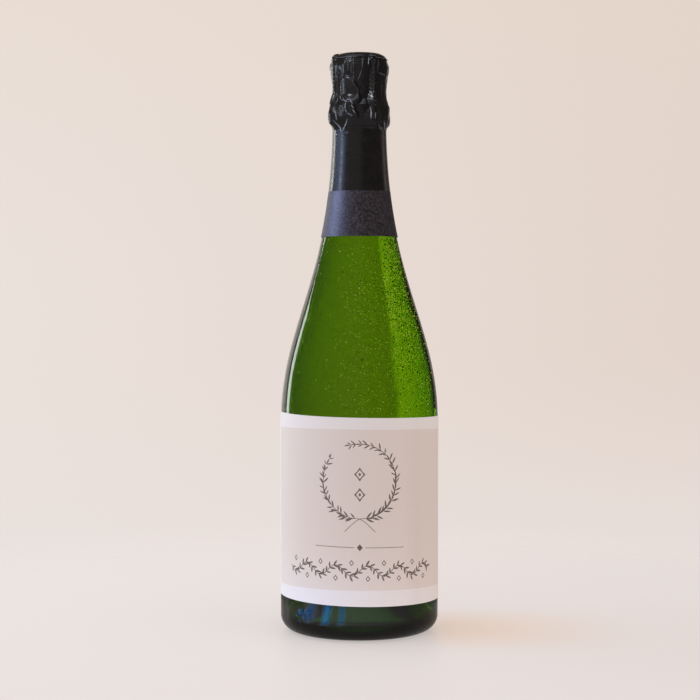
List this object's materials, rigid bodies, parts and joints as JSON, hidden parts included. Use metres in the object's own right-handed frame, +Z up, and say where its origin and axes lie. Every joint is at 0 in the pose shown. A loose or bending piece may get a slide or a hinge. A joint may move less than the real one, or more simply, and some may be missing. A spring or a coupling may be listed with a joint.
{
  "type": "sparkling wine bottle",
  "caption": "Full green glass bottle for sparkling wine, closed by a wired mushroom cork under a black foil hood, with a paper label and neck band.",
  "frame": {"origin": "centre of the foot, in the plane that the bottle stands on", "axes": "+Z up along the bottle's axis, -Y out of the middle of the front label, +X to the right of someone facing the label"},
  "size_m": [0.0888, 0.0887, 0.3224],
  "materials": {
    "green_glass": "gloss",
    "wine": "gloss",
    "label_paper": "matte",
    "band_paper": "matte",
    "black_foil": "gloss",
    "cork": "matte",
    "natural_cork": "matte",
    "cap_metal": "gloss",
    "wire": "satin"
  },
  "bodies": {
    "bottle": {"bottle_glass": "green_glass", "wine": "wine", "front_label": "label_paper", "neck_band": "band_paper", "foil_sleeve": "black_foil"},
    "cork": {"cork_body": "cork", "cork_disc_upper": "natural_cork", "cork_disc_lower": "natural_cork"},
    "cage": {"cap_plaque": "cap_metal", "cage_wire_right": "wire", "cage_wire_back": "wire", "cage_wire_left": "wire", "cage_wire_front": "wire", "cage_belt": "wire"},
    "key": {"cage_key": "wire"},
    "hood": {"foil_hood": "black_foil", "foil_crown": "black_foil"}
  },
  "joints": [
    {"name": "cork_pull", "type": "slide", "parent": "bottle", "child": "cork", "axis": [0, 0, 1], "range_m": [0, 0.05]},
    {"name": "cage_lift", "type": "slide", "parent": "cork", "child": "cage", "axis": [0, 0, 1], "range_m": [0, 0.045], "deforming": ["cage_belt"]},
    {"name": "hood_lift", "type": "slide", "parent": "cage", "child": "hood", "axis": [0, 0, 1], "range_m": [0, 0.045], "deforming": ["foil_hood"]},
    {"name": "key_fold", "type": "hinge", "parent": "cage", "child": "key", "pos_m": [-0.00242, -0.0172, 0.2872], "axis": [0.9903, -0.1392, 0], "range_deg": [0, 90]}
  ],
  "couplings": [
    {"joint": "key_fold", "follows": "hood_lift", "rad_per_m": 34.9}
  ]
}
